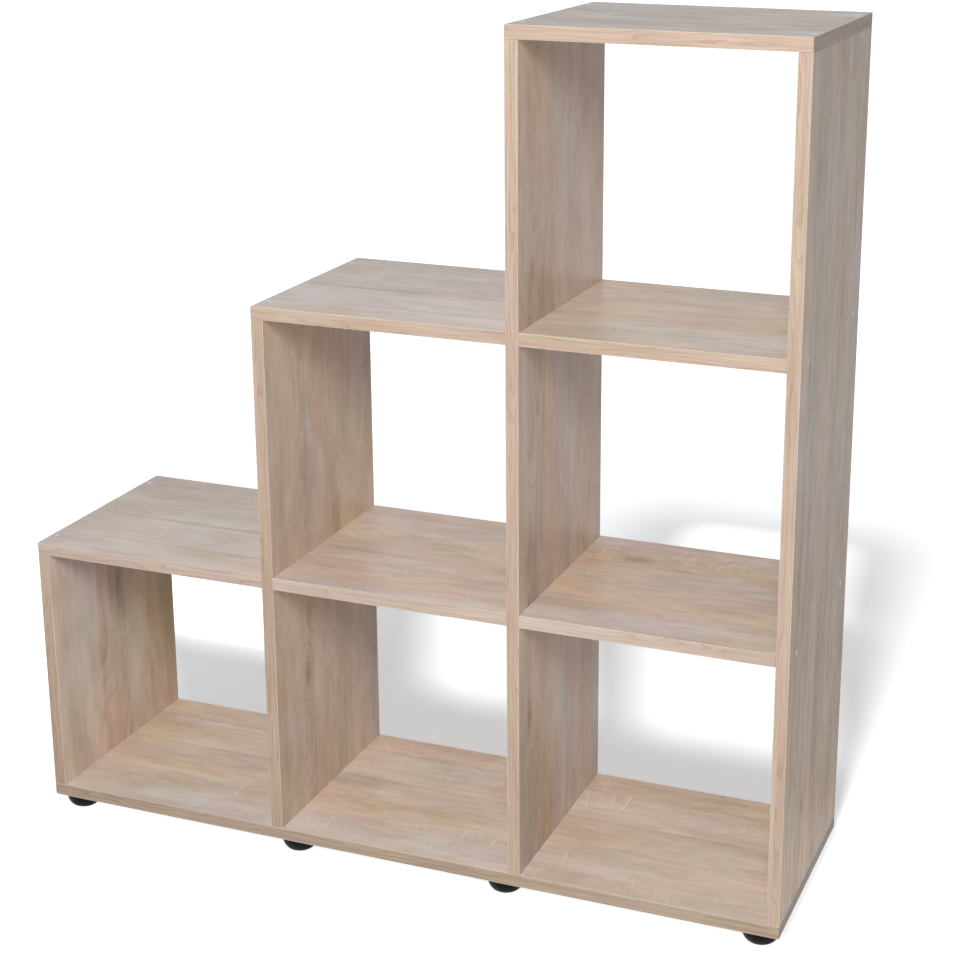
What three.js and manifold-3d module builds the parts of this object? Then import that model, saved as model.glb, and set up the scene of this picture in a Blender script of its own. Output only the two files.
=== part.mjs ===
// Staircase bookshelf of oak-faced chipboard: columns of one, two and three open compartments.
// Millimetres. +Z is up, the front faces -Y and the steps rise towards +X.
// The origin is on the floor, at the middle of the outer box.

import * as THREE from 'three';
import { mergeVertices } from 'three/addons/utils/BufferGeometryUtils.js';
import Module from 'manifold-3d';

const wasm = await Module();
wasm.setup();

// Columns from left to right, with the number of compartments in each.
const columns = [
  { name: 'low', bays: 1 },
  { name: 'middle', bays: 2 },
  { name: 'tall', bays: 3 },
];

// Clear size of one compartment, and the boards round it.
const bayWidth = 312;
const bayHeight = 329;
const depth = 288;
const boardThickness = 16;
const jointGap = 0.2;

// Connector screw with a cylinder head and a hexagon socket, let into the outer board.
const screwLength = 50;
const screwHeadRadius = 3.5;
const screwHeadHeight = 3;
const screwShankRadius = 2.9;
const screwShankLength = 9;
const screwThreadRadius = 2.5;
const screwTipLength = 2;
const socketAcrossFlats = 3;
const socketDepth = 2.4;

// Distance of the screws and dowels from the front and back edges, and of those in the base.
const fixingInset = 32;
const baseFixingInset = 64;

// Cap pressed into a screw's socket, flush with the face of the board.
const capRadius = 3.9;
const capThickness = 1.2;
const capChamfer = 0.3;
const capStemRadius = 1.2;
const capStemLength = 1.8;
const capSeatGap = 0.1;

// Dowel through an inner upright, into the boards on both sides of it.
const dowelRadius = 4;
const dowelReach = 18;
const dowelChamfer = 1;

// Bowl-shaped glide with a nail in its middle, driven up into the base.
const glideHeight = 19;
const glideRadius = 24;
const glideFlatRadius = 12;
const glideInset = 26;
const glideOffset = 20;
const nailRadius = 1.3;
const nailLength = 11;
const nailTipLength = 2;

// Radial and end clearance of what sits in a drilled hole, and how far a cut overruns a face.
const holeClearance = 0.2;
const endClearance = 1;
const cutOverrun = 2;

// Facets round each kind of round piece.
const fastenerFacets = 12;
const glideFacets = 24;
const glideArcSteps = 5;

const screwHeadSink = capThickness + capSeatGap;
const headHoleRadius = Math.max(screwHeadRadius, capRadius) + holeClearance;
const pitch = bayWidth + boardThickness;
const overallWidth = columns.length * pitch + boardThickness;
const fixingPlaces = sidePlaces(fixingInset);
const baseFixingPlaces = sidePlaces(baseFixingInset);
const glidePlaces = sidePlaces(glideInset);

const oak = finish('#c3ad99', 0.5, 0);
const capWhite = finish('#f2f1ec', 0.35, 0);
const zincSteel = finish('#b9bcc0', 0.35, 0.9);
const beech = finish('#d8b98e', 0.65, 0);
const glideBlack = finish('#17171a', 0.4, 0);

function finish(color, roughness, metalness) {
  return new THREE.MeshStandardMaterial({ color, roughness, metalness });
}

// The front and the back place at a distance from the edges.
function sidePlaces(inset) {
  return [
    { side: 'front', y: inset - depth / 2 },
    { side: 'back', y: depth / 2 - inset },
  ];
}

// Left face of an upright, and underside of the board at a level; level 0 is the base.
function uprightLeft(index) {
  return index * pitch - overallWidth / 2;
}

function levelBottom(level) {
  return glideHeight + level * (bayHeight + boardThickness);
}

// An upright is as high as the taller of the two columns that it stands between.
function uprightBays(index) {
  const left = columns[index - 1]?.bays ?? 0;
  const right = columns[index]?.bays ?? 0;
  return Math.max(left, right);
}

// Closed solid of a geometry, for cutting, and the geometry of a solid.
function solidOf(geometry) {
  const bare = geometry.clone();
  bare.deleteAttribute('normal');
  bare.deleteAttribute('uv');
  const merged = mergeVertices(bare);
  return new wasm.Manifold(new wasm.Mesh({
    numProp: 3,
    vertProperties: new Float32Array(merged.attributes.position.array),
    triVerts: new Uint32Array(merged.index.array),
  }));
}

function geometryOf(solid) {
  const { numProp, vertProperties, triVerts } = solid.getMesh();
  const indexed = new THREE.BufferGeometry();
  indexed.setAttribute('position', new THREE.BufferAttribute(vertProperties, numProp));
  indexed.setIndex(new THREE.BufferAttribute(triVerts, 1));
  const flat = indexed.toNonIndexed();
  flat.computeVertexNormals();
  return flat;
}

// Solid of revolution about Z. The outline is a list of [radius, height], bottom to top.
function turned(outline, facets) {
  const points = outline.map(([radius, height]) => new THREE.Vector2(radius, height));
  return new THREE.LatheGeometry(points, facets).rotateX(Math.PI / 2);
}

// Each fastener lies along Z with its head end at the origin and its tip at -Z.
function screwGeometry() {
  const headTop = -screwHeadSink;
  const headBottom = headTop - screwHeadHeight;
  const shankBottom = headBottom - screwShankLength;
  const tip = headTop - screwLength;
  const body = turned([
    [0, tip],
    [screwThreadRadius / 2, tip],
    [screwThreadRadius, tip + screwTipLength],
    [screwThreadRadius, shankBottom],
    [screwShankRadius, shankBottom],
    [screwShankRadius, headBottom],
    [screwHeadRadius, headBottom],
    [screwHeadRadius, headTop],
    [0, headTop],
  ], fastenerFacets);
  const cornerRadius = socketAcrossFlats / Math.sqrt(3);
  const socket = new THREE.CylinderGeometry(cornerRadius, cornerRadius, socketDepth + cutOverrun, 6);
  socket.rotateX(Math.PI / 2);
  socket.translate(0, 0, headTop + (cutOverrun - socketDepth) / 2);
  return geometryOf(solidOf(body).subtract(solidOf(socket)));
}

function screwHole() {
  const headBottom = -screwHeadSink - screwHeadHeight;
  const shankBottom = headBottom - screwShankLength;
  const bottom = -screwHeadSink - screwLength - endClearance;
  return turned([
    [0, bottom],
    [screwThreadRadius + holeClearance, bottom],
    [screwThreadRadius + holeClearance, shankBottom - holeClearance],
    [screwShankRadius + holeClearance, shankBottom - holeClearance],
    [screwShankRadius + holeClearance, headBottom - holeClearance],
    [headHoleRadius, headBottom - holeClearance],
    [headHoleRadius, cutOverrun],
    [0, cutOverrun],
  ], fastenerFacets);
}

function capGeometry() {
  const stemBottom = -capThickness - capStemLength;
  return turned([
    [0, stemBottom],
    [capStemRadius, stemBottom],
    [capStemRadius, -capThickness],
    [capRadius, -capThickness],
    [capRadius, -capChamfer],
    [capRadius - capChamfer, 0],
    [0, 0],
  ], fastenerFacets);
}

// Dowel and its hole, centred on the upright's middle plane.
function dowelGeometry() {
  const half = boardThickness / 2 + dowelReach;
  return turned([
    [0, -half],
    [dowelRadius - dowelChamfer, -half],
    [dowelRadius, dowelChamfer - half],
    [dowelRadius, half - dowelChamfer],
    [dowelRadius - dowelChamfer, half],
    [0, half],
  ], fastenerFacets);
}

function dowelHole() {
  const half = boardThickness / 2 + dowelReach + endClearance;
  const radius = dowelRadius + holeClearance;
  return turned([[0, -half], [radius, -half], [radius, half], [0, half]], fastenerFacets);
}

// The bowl's side is a quarter ellipse from the flat that rests on the floor to the full radius.
function glideGeometry() {
  const outline = [[0, 0]];
  for (let step = 0; step <= glideArcSteps; step += 1) {
    const angle = (step / glideArcSteps) * Math.PI / 2;
    outline.push([
      glideFlatRadius + (glideRadius - glideFlatRadius) * Math.sin(angle),
      glideHeight * (1 - Math.cos(angle)),
    ]);
  }
  const nailTop = glideHeight + nailLength;
  outline.push([nailRadius, glideHeight]);
  outline.push([nailRadius, nailTop - nailTipLength]);
  outline.push([0, nailTop]);
  return turned(outline, glideFacets);
}

function nailHole() {
  const top = glideHeight + nailLength + endClearance;
  const radius = nailRadius + holeClearance;
  const bottom = glideHeight - cutOverrun;
  return turned([[0, bottom], [radius, bottom], [radius, top], [0, top]], fastenerFacets);
}

// Boards as their lowest and highest corners.
const boards = {};

function addBoard(name, xLow, xHigh, zLow, zHigh) {
  boards[name] = {
    low: new THREE.Vector3(xLow, -depth / 2, zLow),
    high: new THREE.Vector3(xHigh, depth / 2, zHigh),
    holes: [],
  };
}

function addBase() {
  const bottom = levelBottom(0);
  addBoard('base_panel', -overallWidth / 2, overallWidth / 2, bottom, bottom + boardThickness);
}

function addUprights() {
  for (let index = 0; index <= columns.length; index += 1) {
    const left = uprightLeft(index);
    const bottom = levelBottom(0) + boardThickness + jointGap;
    const top = levelBottom(uprightBays(index)) - jointGap;
    addBoard(`upright_${index + 1}`, left, left + boardThickness, bottom, top);
  }
}

// A top covers the upright on its left, and butts against a taller upright on its right.
function addTops() {
  columns.forEach(({ name, bays }, index) => {
    const right = uprightLeft(index + 1);
    const isLast = index === columns.length - 1;
    const end = isLast ? right + boardThickness : right - jointGap;
    const bottom = levelBottom(bays);
    addBoard(`top_${name}`, uprightLeft(index), end, bottom, bottom + boardThickness);
  });
}

function addShelves() {
  columns.forEach(({ name, bays }, index) => {
    const left = uprightLeft(index) + boardThickness + jointGap;
    const right = uprightLeft(index + 1) - jointGap;
    for (let level = 1; level < bays; level += 1) {
      const bottom = levelBottom(level);
      addBoard(`shelf_${name}_${level}`, left, right, bottom, bottom + boardThickness);
    }
  });
}

// The board at a level in a column: the column's top or one of its shelves.
function boardAt(index, level) {
  const { name, bays } = columns[index];
  return level === bays ? `top_${name}` : `shelf_${name}_${level}`;
}

// The fasteners, each with its place and turn; its hole is cut from every board that it enters.
const shelfUnit = new THREE.Group();

function addPiece(name, geometry, material, place, turn) {
  const piece = new THREE.Mesh(geometry, material);
  piece.name = name;
  piece.position.copy(place);
  piece.rotation.copy(turn);
  shelfUnit.add(piece);
}

function cutHole(hole, place, turn, names) {
  const spot = new THREE.Matrix4().makeRotationFromEuler(turn).setPosition(place);
  const tool = hole.clone().applyMatrix4(spot);
  names.forEach((name) => boards[name].holes.push(tool));
}

const pointDown = new THREE.Euler(0, 0, 0);
const pointUp = new THREE.Euler(Math.PI, 0, 0);
const pointLeft = new THREE.Euler(0, Math.PI / 2, 0);

function addScrew(label, place, turn, names) {
  addPiece(`screw_${label}`, screwGeometry(), zincSteel, place, turn);
  cutHole(screwHole(), place, turn, names);
}

function addCappedScrew(label, place, turn, names) {
  addScrew(label, place, turn, names);
  addPiece(`cap_${label}`, capGeometry(), capWhite, place, turn);
}

// Two screws go up through the base into each upright.
function addBaseScrews() {
  for (let index = 0; index <= columns.length; index += 1) {
    const middle = uprightLeft(index) + boardThickness / 2;
    for (const { side, y } of baseFixingPlaces) {
      const place = new THREE.Vector3(middle, y, levelBottom(0));
      addScrew(`base_${index + 1}_${side}`, place, pointUp, ['base_panel', `upright_${index + 1}`]);
    }
  }
}

// Two screws go down through each top into every upright that ends under it.
function addTopScrews() {
  columns.forEach(({ name, bays }, index) => {
    const carriers = [index, index + 1].filter((upright) => uprightBays(upright) === bays);
    for (const upright of carriers) {
      const middle = uprightLeft(upright) + boardThickness / 2;
      for (const { side, y } of fixingPlaces) {
        const place = new THREE.Vector3(middle, y, levelBottom(bays) + boardThickness);
        const names = [`top_${name}`, `upright_${upright + 1}`];
        addCappedScrew(`top_${upright + 1}_${side}`, place, pointDown, names);
      }
    }
  });
}

// Two screws go through the outer side into the end of each shelf of the last column.
function addSideScrews() {
  const last = columns.length - 1;
  const { name, bays } = columns[last];
  for (let level = 1; level < bays; level += 1) {
    const height = levelBottom(level) + boardThickness / 2;
    for (const { side, y } of fixingPlaces) {
      const place = new THREE.Vector3(overallWidth / 2, y, height);
      const names = [`upright_${columns.length + 1}`, `shelf_${name}_${level}`];
      addCappedScrew(`side_${level}_${side}`, place, pointLeft, names);
    }
  }
}

// Two dowels pass through an inner upright wherever two boards meet it at one level.
function addDowels() {
  for (let index = 1; index < columns.length; index += 1) {
    for (let level = 1; level <= columns[index - 1].bays; level += 1) {
      const middle = uprightLeft(index) + boardThickness / 2;
      const height = levelBottom(level) + boardThickness / 2;
      const names = [boardAt(index - 1, level), `upright_${index + 1}`, boardAt(index, level)];
      for (const { side, y } of fixingPlaces) {
        const place = new THREE.Vector3(middle, y, height);
        addPiece(`dowel_${index + 1}_${level}_${side}`, dowelGeometry(), beech, place, pointLeft);
        cutHole(dowelHole(), place, pointLeft, names);
      }
    }
  }
}

// A glide stands under each upright, moved towards the middle of the shelf.
function addGlides() {
  for (let index = 0; index <= columns.length; index += 1) {
    const middle = uprightLeft(index) + boardThickness / 2;
    const place = middle - Math.sign(middle) * glideOffset;
    for (const { side, y } of glidePlaces) {
      const spot = new THREE.Vector3(place, y, 0);
      addPiece(`glide_${index + 1}_${side}`, glideGeometry(), glideBlack, spot, pointDown);
      cutHole(nailHole(), spot, pointDown, ['base_panel']);
    }
  }
}

// Cuts the holes of a board and places it by its middle.
function placeBoards() {
  for (const [name, { low, high, holes }] of Object.entries(boards)) {
    const size = high.clone().sub(low);
    const centre = low.clone().add(high).multiplyScalar(1 / 2);
    const blank = solidOf(new THREE.BoxGeometry(size.x, size.y, size.z));
    const drilled = holes.reduce((solid, hole) => {
      const tool = hole.clone().translate(-centre.x, -centre.y, -centre.z);
      return solid.subtract(solidOf(tool));
    }, blank);
    addPiece(name, geometryOf(drilled), oak, centre, pointDown);
  }
}

addBase();
addUprights();
addTops();
addShelves();
addBaseScrews();
addTopScrews();
addSideScrews();
addDowels();
addGlides();
placeBoards();

export default shelfUnit;
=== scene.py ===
import math
import random

import bmesh
import bpy
from mathutils import Matrix, Vector


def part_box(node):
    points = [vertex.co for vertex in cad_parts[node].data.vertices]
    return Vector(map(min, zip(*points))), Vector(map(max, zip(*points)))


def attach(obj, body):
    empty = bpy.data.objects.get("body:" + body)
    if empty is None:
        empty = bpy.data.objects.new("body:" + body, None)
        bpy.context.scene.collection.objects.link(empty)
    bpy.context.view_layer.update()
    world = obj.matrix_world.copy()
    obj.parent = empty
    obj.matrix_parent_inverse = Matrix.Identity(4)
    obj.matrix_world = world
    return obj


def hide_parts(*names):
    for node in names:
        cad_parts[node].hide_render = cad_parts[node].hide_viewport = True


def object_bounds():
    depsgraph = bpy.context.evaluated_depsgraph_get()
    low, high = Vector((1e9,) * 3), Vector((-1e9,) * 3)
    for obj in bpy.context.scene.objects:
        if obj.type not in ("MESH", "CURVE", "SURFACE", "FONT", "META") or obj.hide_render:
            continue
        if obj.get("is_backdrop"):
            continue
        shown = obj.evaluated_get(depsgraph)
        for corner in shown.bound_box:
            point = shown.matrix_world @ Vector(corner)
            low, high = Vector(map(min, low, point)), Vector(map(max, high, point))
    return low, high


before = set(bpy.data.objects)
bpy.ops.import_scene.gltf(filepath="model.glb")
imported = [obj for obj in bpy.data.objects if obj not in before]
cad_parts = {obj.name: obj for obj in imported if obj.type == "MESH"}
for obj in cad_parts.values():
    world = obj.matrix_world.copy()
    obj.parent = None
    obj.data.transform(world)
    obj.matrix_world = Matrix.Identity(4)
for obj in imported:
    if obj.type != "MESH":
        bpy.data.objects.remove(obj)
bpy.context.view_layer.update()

scene = bpy.context.scene
scene.view_settings.view_transform = "Standard"


# Camera
# It stands at the front right, a little higher than the tall top, about two and a half metres away,
# and looks down over the steps. A small shift keeps the shelf where the photograph frames it.
camera_place = (0.9693, -2.1363, 1.2879)
camera_turn = math.radians(20.636)
camera_pitch = math.radians(16.190)
camera_roll = math.radians(0.191)

camera_lens = bpy.data.cameras.new("camera")
camera_lens.sensor_width = 36
camera_lens.lens = 73.47
camera_lens.shift_x = -0.08
camera_lens.shift_y = -0.10
camera = bpy.data.objects.new("camera", camera_lens)
scene.collection.objects.link(camera)
camera.matrix_world = (
    Matrix.Translation(camera_place)
    @ Matrix.Rotation(camera_turn, 4, "Z")
    @ Matrix.Rotation(math.pi / 2 - camera_pitch, 4, "X")
    @ Matrix.Rotation(camera_roll, 4, "Z")
)
scene.camera = camera


# Base panel
# One board under everything, 16 mm chipboard faced on both sides with a printed oak film. Its front, back
# and both ends are closed by an edge band ironed on, and the uprights stand on it, screwed from below.
MM = 0.001
BAND_THICKNESS = 0.5 * MM
BAND_ROUNDING = 0.35 * MM
FACE_ROUNDING = 0.12 * MM

# A Mix node's colours have these sockets, because their names belong to its numbers too.
MIX_FIRST, MIX_SECOND, MIX_COLOUR = 6, 7, 2


class Shade:
    """An output of a node in a material, so that a sum of shades and numbers adds its own Math nodes."""

    def __init__(self, tree, socket=None):
        self.tree = tree
        self.socket = socket

    def node(self, kind, settings, sockets, output=0):
        """Adds a node: its settings first, then the values or links of its sockets."""
        made = self.tree.nodes.new(kind)
        for key, value in settings.items():
            if key == "stops":
                ramp = made.color_ramp
                ramp.elements[0].position, ramp.elements[0].color = value[0]
                ramp.elements[1].position, ramp.elements[1].color = value[-1]
                for position, colour in value[1:-1]:
                    ramp.elements.new(position).color = colour
            else:
                setattr(made, key, value)
        for key, value in sockets.items():
            if isinstance(value, Shade):
                self.tree.links.new(value.socket, made.inputs[key])
            else:
                made.inputs[key].default_value = value
        return Shade(self.tree, made.outputs[output] if made.outputs else None)

    def other(self, output):
        """Another output of the same node."""
        return Shade(self.tree, self.socket.node.outputs[output])

    def maths(self, operation, first, second=0.0):
        return self.node("ShaderNodeMath", {"operation": operation}, {0: first, 1: second})

    def __add__(self, value):
        return self.maths("ADD", self, value)

    def __radd__(self, value):
        return self.maths("ADD", value, self)

    def __sub__(self, value):
        return self.maths("SUBTRACT", self, value)

    def __rsub__(self, value):
        return self.maths("SUBTRACT", value, self)

    def __mul__(self, value):
        return self.maths("MULTIPLY", self, value)

    def __rmul__(self, value):
        return self.maths("MULTIPLY", value, self)

    def __truediv__(self, value):
        return self.maths("DIVIDE", self, value)

    def __gt__(self, value):
        return self.maths("GREATER_THAN", self, value)

    def __pow__(self, value):
        return self.maths("POWER", self, value)

    def clamped(self):
        """Held between 0 and 1."""
        return self.node("ShaderNodeClamp", {}, {"Value": self, "Min": 0.0, "Max": 1.0})

    def ramp(self, start, end):
        """Runs smoothly from 0 at start to 1 at end."""
        sockets = {"Value": self, "From Min": start, "From Max": end}
        return self.node("ShaderNodeMapRange", {"interpolation_type": "SMOOTHSTEP"}, sockets)

    def line(self, middle, half):
        """1 where this is near the middle value, and 0 from half on at both sides of it."""
        core_share = 0.3
        off = self.maths("ABSOLUTE", self - middle)
        return 1 - off.ramp(half * core_share, half)

    def mixed(self, first, second):
        """The first number where this is 0, and the second where it is 1."""
        return self.node("ShaderNodeMix", {"data_type": "FLOAT"}, {0: self, 2: first, 3: second})

    def tinted(self, first, second):
        """The first colour where this is 0, and the second where it is 1."""
        sockets = {0: self, MIX_FIRST: first, MIX_SECOND: second}
        return self.node("ShaderNodeMix", {"data_type": "RGBA"}, sockets, MIX_COLOUR)

    def toned(self, stops):
        """The colour at this number in a table of tones."""
        return self.node("ShaderNodeValToRGB", {"stops": stops}, {"Fac": self})

    def dyed(self, dye):
        """This colour times another."""
        settings = {"data_type": "RGBA", "blend_type": "MULTIPLY"}
        return self.node("ShaderNodeMix", settings, {0: 1.0, MIX_FIRST: self, MIX_SECOND: dye}, MIX_COLOUR)

    def place(self):
        """The place in the shelf's own frame, in metres."""
        return self.node("ShaderNodeTexCoord", {}, {}, "Object")

    def parts(self):
        """The X of this vector, with its Y and Z as the node's other outputs."""
        return self.node("ShaderNodeSeparateXYZ", {}, {"Vector": self})

    def point(self, x, y, z):
        return self.node("ShaderNodeCombineXYZ", {}, {"X": x, "Y": y, "Z": z})

    def noise(self, x, y, z, detail, roughness=0.5):
        """Noise from about -0.5 to 0.5 at that point."""
        values = {"Vector": self.point(x, y, z), "Scale": 1.0, "Detail": detail, "Roughness": roughness}
        return self.node("ShaderNodeTexNoise", {"normalize": True}, values) - 0.5

    def layer(self, run, side, page, kind):
        """A layer of a print's noise, at that place along and across the grain, on that page."""
        run_rate, side_rate, shift, detail, roughness = kind
        return self.noise(run * run_rate, side * side_rate, page + shift, detail, roughness)


def new_finish(name):
    """An empty material: it gives the material, and a shade to start its sums from."""
    material = bpy.data.materials.new(name)
    material.use_nodes = True
    material.node_tree.nodes.clear()
    return material, Shade(material.node_tree)


def close_finish(start, colour, roughness, height=None, depth=0.0, **fixed):
    """Ends a material: what varies on the shader, the bump's real depth in metres, and what is uniform."""
    sockets = {"Base Color": colour, "Roughness": roughness}
    if height is not None:
        bump = {"Strength": 1.0, "Distance": depth, "Height": height}
        sockets["Normal"] = start.node("ShaderNodeBump", {}, bump)
    for key, value in fixed.items():
        sockets[key.replace("_", " ")] = value
    shader = start.node("ShaderNodeBsdfPrincipled", {}, sockets)
    start.node("ShaderNodeOutputMaterial", {}, {"Surface": shader})


# Each stave is its end as a share of the board's depth, then from -1.5 to 1.5 how light and how warm it is,
# and from 0 to 1 how much flame figure and how many saw marks it has.
STAVE_RANGE = 3


def stave_stops(staves):
    """The staves as the stops of a ramp, with a narrow blend between two of them."""
    edge_share = 0.003
    stops = []
    start = 0.0
    for end, light, warm, flame, saw in staves:
        colour = (0.5 + light / STAVE_RANGE, 0.5 + warm / STAVE_RANGE, flame, saw)
        stops.append((start + edge_share, colour))
        stops.append((end - edge_share, colour))
        start = end
    return stops


def chance_staves(seed):
    """Staves for a face that the photograph doesn't show."""
    narrowest, widest, least_end = 0.08, 0.3, 0.92
    light_reach, warm_reach = 0.3, 0.4
    flames, saws = (0.1, 0.3, 0.8), (0.0, 0.0, 0.7)
    chance = random.Random(seed)
    staves = []
    end = 0.0
    while end < 1.0:
        end = min(end + chance.uniform(narrowest, widest), 1.0)
        if end > least_end:
            end = 1.0
        light = chance.uniform(-light_reach, light_reach)
        warm = chance.uniform(-warm_reach, warm_reach)
        staves.append((end, light, warm, chance.choice(flames), chance.choice(saws)))
    return staves


OAK_TONES = [
    (0.00, (0.330, 0.225, 0.150, 1)),
    (0.25, (0.500, 0.385, 0.290, 1)),
    (0.50, (0.665, 0.540, 0.436, 1)),
    (0.75, (0.800, 0.700, 0.605, 1)),
    (1.00, (0.900, 0.835, 0.765, 1)),
]
OAK_COOL = (0.93, 1.00, 1.12, 1)
OAK_WARM = (1.08, 0.98, 0.80, 1)
OAK_PINK = (1.035, 0.970, 1.015, 1)
OAK_OLIVE = (0.995, 1.010, 0.965, 1)
OAK_GLOSS = 0.12

# Each layer of a print's noise: its turns in a metre along and across the grain, the shift of its page, its
# detail and its roughness.
OAK_LAYERS = {
    "wander": (1.7, 5, 0.0, 1, 0.5),
    "cloud": (6, 24, 3.3, 2, 0.5),
    "mottle": (24, 80, 5.2, 2, 0.6),
    "streak": (15, 150, 7.1, 2, 0.6),
    "fibre": (70, 620, 11.9, 1, 0.5),
    "pore": (110, 1200, 17.3, 0, 0.5),
    "figure": (3.4, 11, 23.1, 1, 0.5),
    "figure_strength": (9, 40, 29.9, 1, 0.5),
    "saw_slip": (12, 10, 37.7, 1, 0.5),
    "saw_patch": (9, 18, 41.3, 1, 0.5),
    "warmth": (3.5, 16, 43.9, 2, 0.5),
    "saw_break": (90, 22, 47.9, 1, 0.5),
    "unevenness": (9, 20, 53.3, 1, 0.5),
    "greenness": (7, 20, 59.9, 2, 0.5),
    "long_line": (2.5, 130, 67.1, 1, 0.5),
}
# How far each of these changes the lightness, which runs from 0 to 1 through OAK_TONES.
OAK_SHARES = {
    "cloud": 0.50,
    "mottle": 0.36,
    "streak": 0.16,
    "fibre": 0.15,
    "stave": 0.25,
    "flame": 0.28,
    "pore": 0.08,
    "saw": 0.16,
    "knot": 0.30,
}


def oak_print(name, along, across, low, high, staves, knots, page, contrast, hues, painted_foot_shade, lines, gloss):
    """The film's print: staves side by side, with long fibres, flame figure, saw marks, pores and knots."""
    far_page = 31.7
    wander_reach = 22.0 * MM
    stave_wander = 0.12
    pore_limits = (0.14, 0.28)
    rings_in_metre, figure_bend = 24, 14
    flame_power, flame_least, flame_change = 2, 0.6, 2
    knot_stretch, knot_rings, knot_power = 2.6, 4.5, 3
    slip_reach = 3.0
    stroke_pitch, stroke_lean, stroke_limits = 14.0 * MM, 5, (-0.04, 0.08)
    slant_pitch, slant_lean, slant_limits = 23.0 * MM, 22, (0.02, 0.12)
    patch_limits = (0.02, 0.12)
    ridge_line, groove_line, slant_line = (0.45, 0.14), (0.65, 0.12), (0.5, 0.10)
    groove_share, slant_share = 0.5, 0.7
    middle_light = 0.52
    stave_evenness, stave_change = 0.75, 1.6
    stave_warmth, greenness = 0.45, 2.8
    foot_shade_start, foot_shade_end, foot_shade_warmth = 0.05, 0.60, 2
    bump_depth = 0.02 * MM

    material, start = new_finish(name)
    parts = start.place().parts()
    run = parts.other(along)
    front = parts.other("Y") - low[1]
    far = parts.other(across) > (low[across] + high[across]) / 2
    sheet = far * far_page + page

    def layer(kind, side):
        return start.layer(run, side, sheet, OAK_LAYERS[kind])

    wander = layer("wander", front) * wander_reach
    grain = front + wander
    place_share = (front + wander * stave_wander) / (high[1] - low[1])
    near = place_share.toned(stave_stops(staves[0]))
    away = place_share.toned(stave_stops(staves[1]))
    stave = start.node("ShaderNodeSeparateColor", {}, {"Color": far.tinted(near, away)})
    stave_light = stave * STAVE_RANGE - STAVE_RANGE / 2
    stave_warm = stave.other("Green") * STAVE_RANGE - STAVE_RANGE / 2
    stave_flame = stave.other("Blue")
    stave_saw = far.mixed(near.other("Alpha"), away.other("Alpha"))

    cloud = layer("cloud", front)
    mottle = layer("mottle", front)
    streak = layer("streak", grain)
    fibre = layer("fibre", grain)
    pore = layer("pore", grain).ramp(*pore_limits)

    field = grain * rings_in_metre + layer("figure", grain) * figure_bend
    core = 0.0
    for knot_run, knot_front, knot_size, knot_far in knots:
        away_run = (run - knot_run) / (knot_size * knot_stretch)
        away_front = (front - knot_front) / knot_size
        distance = away_run * away_run + away_front * away_front
        here = far if knot_far else 1 - far
        halo = start.maths("POWER", math.e, distance * -1) * here
        field = field + halo * knot_rings
        core = core + halo ** knot_power
    ring = start.maths("FRACT", field)
    flame_strength = (layer("figure_strength", grain) * flame_change + flame_least).clamped()
    flame = ring ** flame_power * flame_strength

    slip = layer("saw_slip", front) * slip_reach
    stroke = start.maths("FRACT", run / stroke_pitch + front * stroke_lean + slip)
    slant = start.maths("FRACT", run / slant_pitch - front * slant_lean + slip)
    patch = layer("saw_patch", front).ramp(*patch_limits)
    broken = layer("saw_break", front)
    raised = stroke.line(*ridge_line) - stroke.line(*groove_line) * groove_share
    slanted = slant.line(*slant_line) * broken.ramp(*slant_limits) * slant_share
    saw = (raised * broken.ramp(*stroke_limits) + slanted) * patch * stave_saw

    share = OAK_SHARES
    uneven = stave_evenness + layer("unevenness", front) * stave_change
    light = cloud * share["cloud"] + mottle * share["mottle"] + streak * share["streak"]
    light = (light + fibre * share["fibre"]) * contrast
    light = light + middle_light + stave_light * uneven * share["stave"]
    light = light - flame * stave_flame * share["flame"] - pore * share["pore"] + saw * share["saw"]
    if knots:
        light = light - core * share["knot"]
    if lines:
        light = light + layer("long_line", grain) * lines
    warm = 0.5 + stave_warm * stave_warmth + layer("warmth", grain) * hues
    green = 0.5 + layer("greenness", front) * greenness
    # Painted shade: the print darkens and warms toward the board's low end.
    if painted_foot_shade:
        foot_shade_mask = 1 - (run - low[along]).ramp(foot_shade_start, foot_shade_end)
        light = light - foot_shade_mask * painted_foot_shade
        warm = warm + foot_shade_mask * painted_foot_shade * foot_shade_warmth
    colour = light.toned(OAK_TONES).dyed(warm.clamped().tinted(OAK_COOL, OAK_WARM))
    colour = colour.dyed(green.clamped().tinted(OAK_PINK, OAK_OLIVE))

    roughness = 0.34 + pore * 0.12 - fibre * 0.08
    height = fibre * 0.6 - pore + saw * 0.3
    close_finish(start, colour, roughness, height, bump_depth, Specular_IOR_Level=gloss)
    return material


# The tones of the edge bands, from dark to light: on most fronts and backs, on the first level's boards, on
# the base, on the ends that show, darker as a painted shade, and on the ends of the base.
BAND_TONES = [
    (0.00, (0.345, 0.240, 0.172, 1)),
    (0.35, (0.490, 0.362, 0.282, 1)),
    (0.60, (0.595, 0.460, 0.375, 1)),
    (1.00, (0.730, 0.610, 0.525, 1)),
]
STEP_BAND_TONES = [
    (0.00, (0.355, 0.260, 0.198, 1)),
    (0.35, (0.505, 0.391, 0.324, 1)),
    (0.60, (0.613, 0.497, 0.431, 1)),
    (1.00, (0.752, 0.659, 0.604, 1)),
]
BASE_BAND_TONES = [
    (0.00, (0.275, 0.192, 0.135, 1)),
    (0.35, (0.400, 0.304, 0.234, 1)),
    (0.60, (0.490, 0.392, 0.315, 1)),
    (1.00, (0.610, 0.525, 0.450, 1)),
]
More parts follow.
